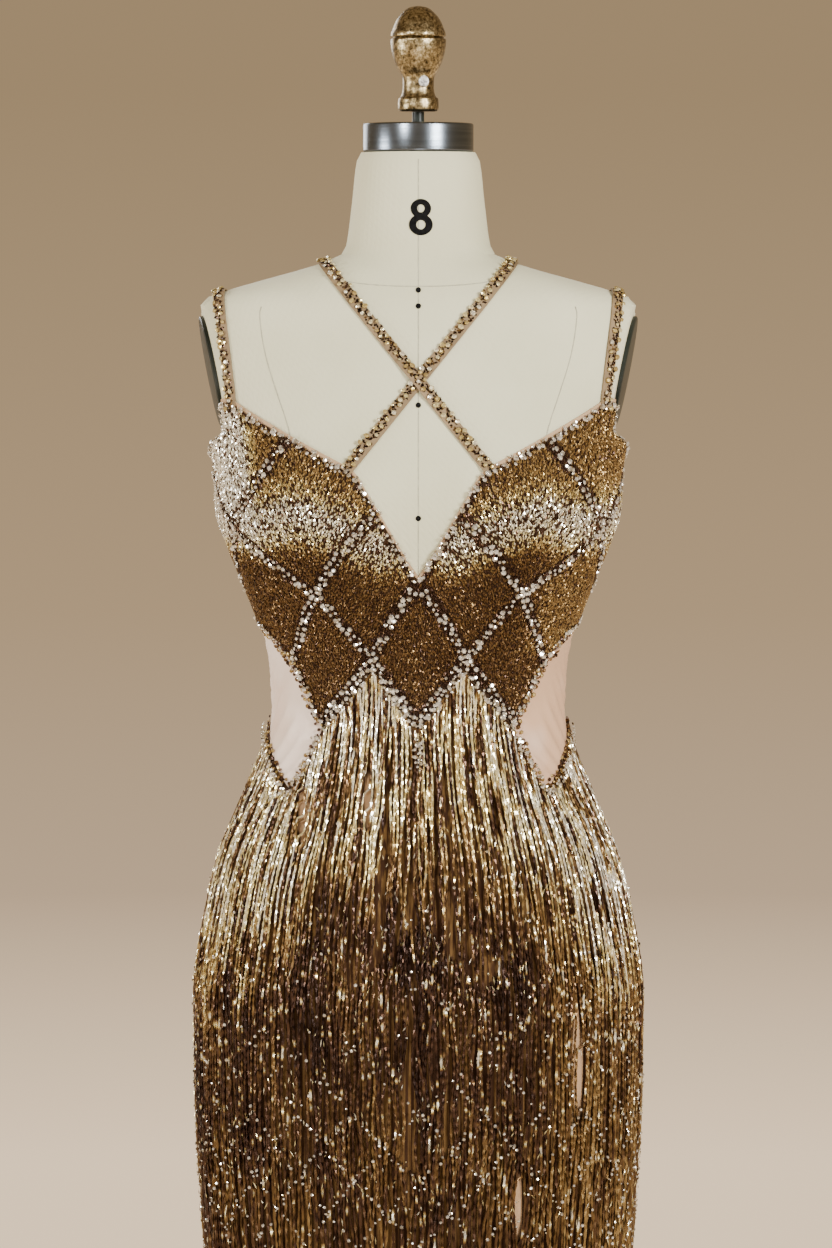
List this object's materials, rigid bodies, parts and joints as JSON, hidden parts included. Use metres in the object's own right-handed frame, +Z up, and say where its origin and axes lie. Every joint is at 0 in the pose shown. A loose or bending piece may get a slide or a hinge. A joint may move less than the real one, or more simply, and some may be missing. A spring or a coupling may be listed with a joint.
{
  "type": "beaded mermaid evening gown on a limbless dress form with stand",
  "caption": "Floor-length mermaid gown of bead fringe with a crossed-strap V bodice and mesh side cut-outs, worn by a limbless dress form on a round-based stand.",
  "frame": {"origin": "on the floor under the form's axis, at the centre of the stand's round base", "axes": "+Z up along the pole and neck; the gown's front faces -Y; +X is to a viewer's right who looks at the front"},
  "size_m": [0.7022, 0.756, 1.689],
  "materials": {
    "beaded_cloth": "nude net backing covered in small gold and brown beads",
    "bead_fringe": "glossy glass-like gold, champagne and brown rice beads on threads",
    "nude_mesh": "matt fine stretch mesh",
    "crystal_trim": "clear and champagne cut crystals on a narrow tape",
    "beaded_strap": "nude tape with small beads and crystals",
    "linen": "matt cream-grey linen cover with stitched seams",
    "arm_plate": "smooth near-black plate",
    "brushed_plate": "brushed bright steel",
    "aged_bronze": "worn bronze-gold with dark patina",
    "black_iron": "satin black"
  },
  "bodies": {
    "root": {"bodice_back_left": "beaded_cloth", "bodice_back_right": "beaded_cloth", "bodice_front": "beaded_cloth", "cutout_mesh_left": "nude_mesh", "cutout_mesh_right": "nude_mesh", "form_arm_plate_left": "arm_plate", "form_arm_plate_right": "arm_plate", "form_knob": "aged_bronze", "form_knob_screw": "brushed_plate", "form_neck_plate": "brushed_plate", "form_rod": "black_iron", "form_torso": "linen", "fringe_tier_1": "bead_fringe", "fringe_tier_2": "bead_fringe", "fringe_tier_3": "bead_fringe", "fringe_tier_4": "bead_fringe", "lattice_back_left": "crystal_trim", "lattice_back_right": "crystal_trim", "lattice_front": "crystal_trim", "skirt_back_left": "beaded_cloth", "skirt_back_right": "beaded_cloth", "skirt_front": "beaded_cloth", "skirt_hip_back_left": "beaded_cloth", "skirt_hip_back_right": "beaded_cloth", "skirt_hip_front_left": "beaded_cloth", "skirt_hip_front_right": "beaded_cloth", "skirt_side_back_left": "beaded_cloth", "skirt_side_back_right": "beaded_cloth", "skirt_side_front_left": "beaded_cloth", "skirt_side_front_right": "beaded_cloth", "stand_base": "black_iron", "stand_flange": "black_iron", "stand_pole": "black_iron", "strap_cross_over": "beaded_strap", "strap_cross_under": "beaded_strap", "strap_shoulder_left": "beaded_strap", "strap_shoulder_right": "beaded_strap"}
  },
  "joints": []
}
